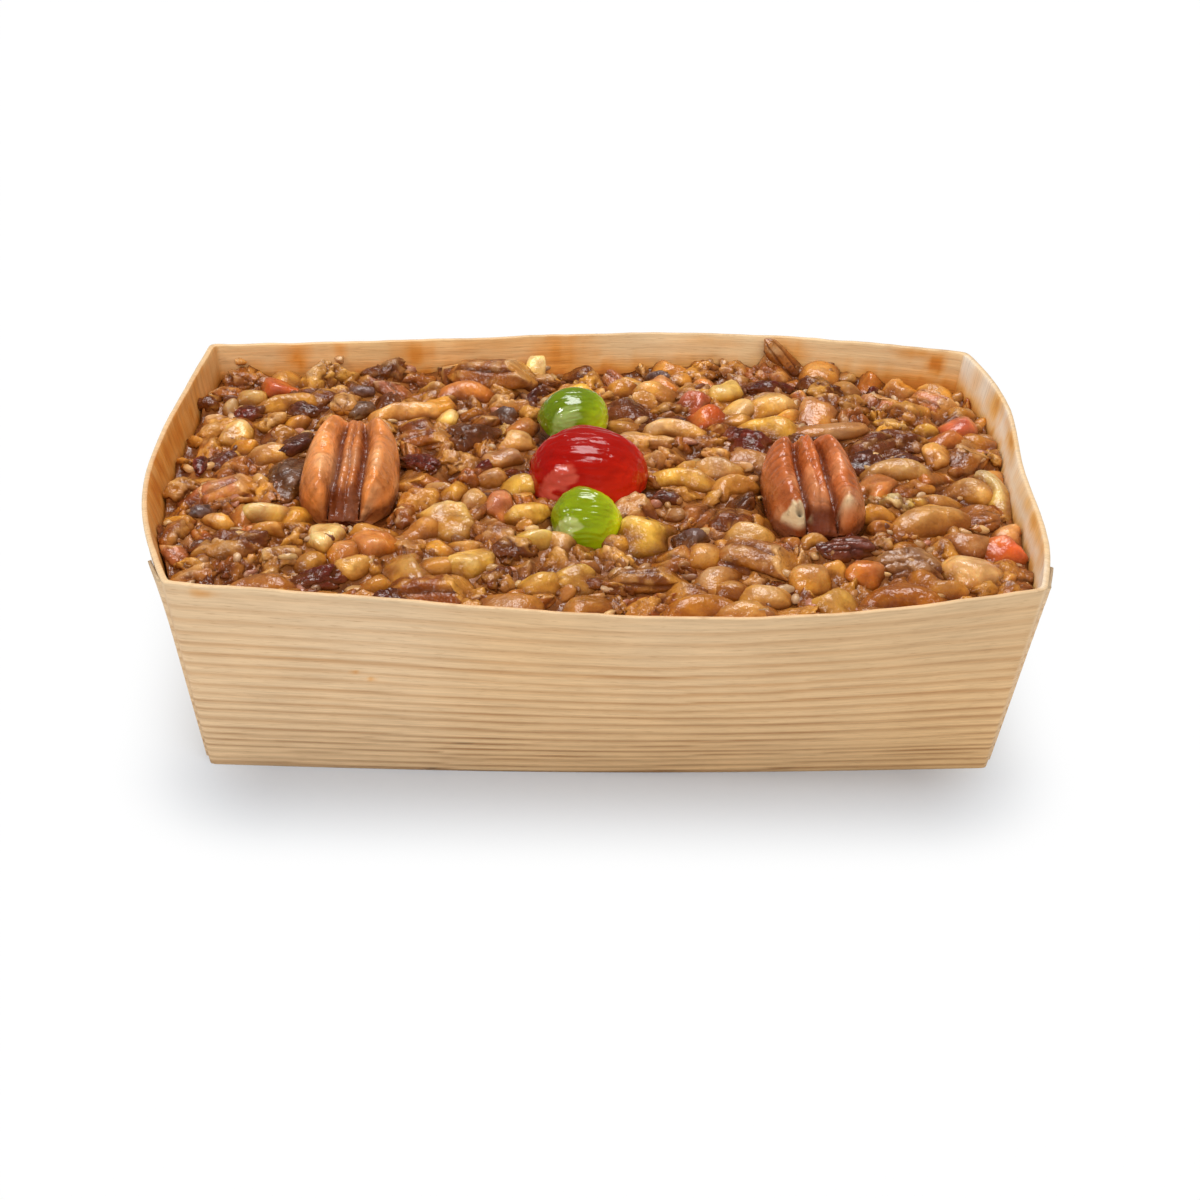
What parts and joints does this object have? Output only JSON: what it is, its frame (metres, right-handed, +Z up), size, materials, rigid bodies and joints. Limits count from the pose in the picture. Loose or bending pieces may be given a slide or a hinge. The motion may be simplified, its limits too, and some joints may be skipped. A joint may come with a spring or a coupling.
{
  "type": "nut cake loaf",
  "caption": "Uncut fruit-and-nut loaf cake in a folded wood-veneer baking case, topped with pecan halves and glace cherry halves.",
  "frame": {"origin": "under the middle of the bounding box, on the surface that the case stands on", "axes": "+X along the loaf's length, +Y to its back (the red cherry's plain side), +Z up"},
  "size_m": [0.157, 0.1148, 0.0442],
  "materials": {
    "veneer": "bare pale softwood veneer with growth lines and caramel stains",
    "nut_cake": "glazed nuts, raisins and candied fruit in baked crumb",
    "pecan": "glazed red-brown pecan skin",
    "cherry_red": "translucent candied red cherry, wet gloss",
    "cherry_green": "translucent candied green cherry, wet gloss"
  },
  "bodies": {
    "root": {"case": "veneer", "loaf": "nut_cake", "pecan_left": "pecan", "pecan_right": "pecan", "cherry_red": "cherry_red", "cherry_green_back": "cherry_green", "cherry_green_front": "cherry_green"}
  },
  "joints": []
}
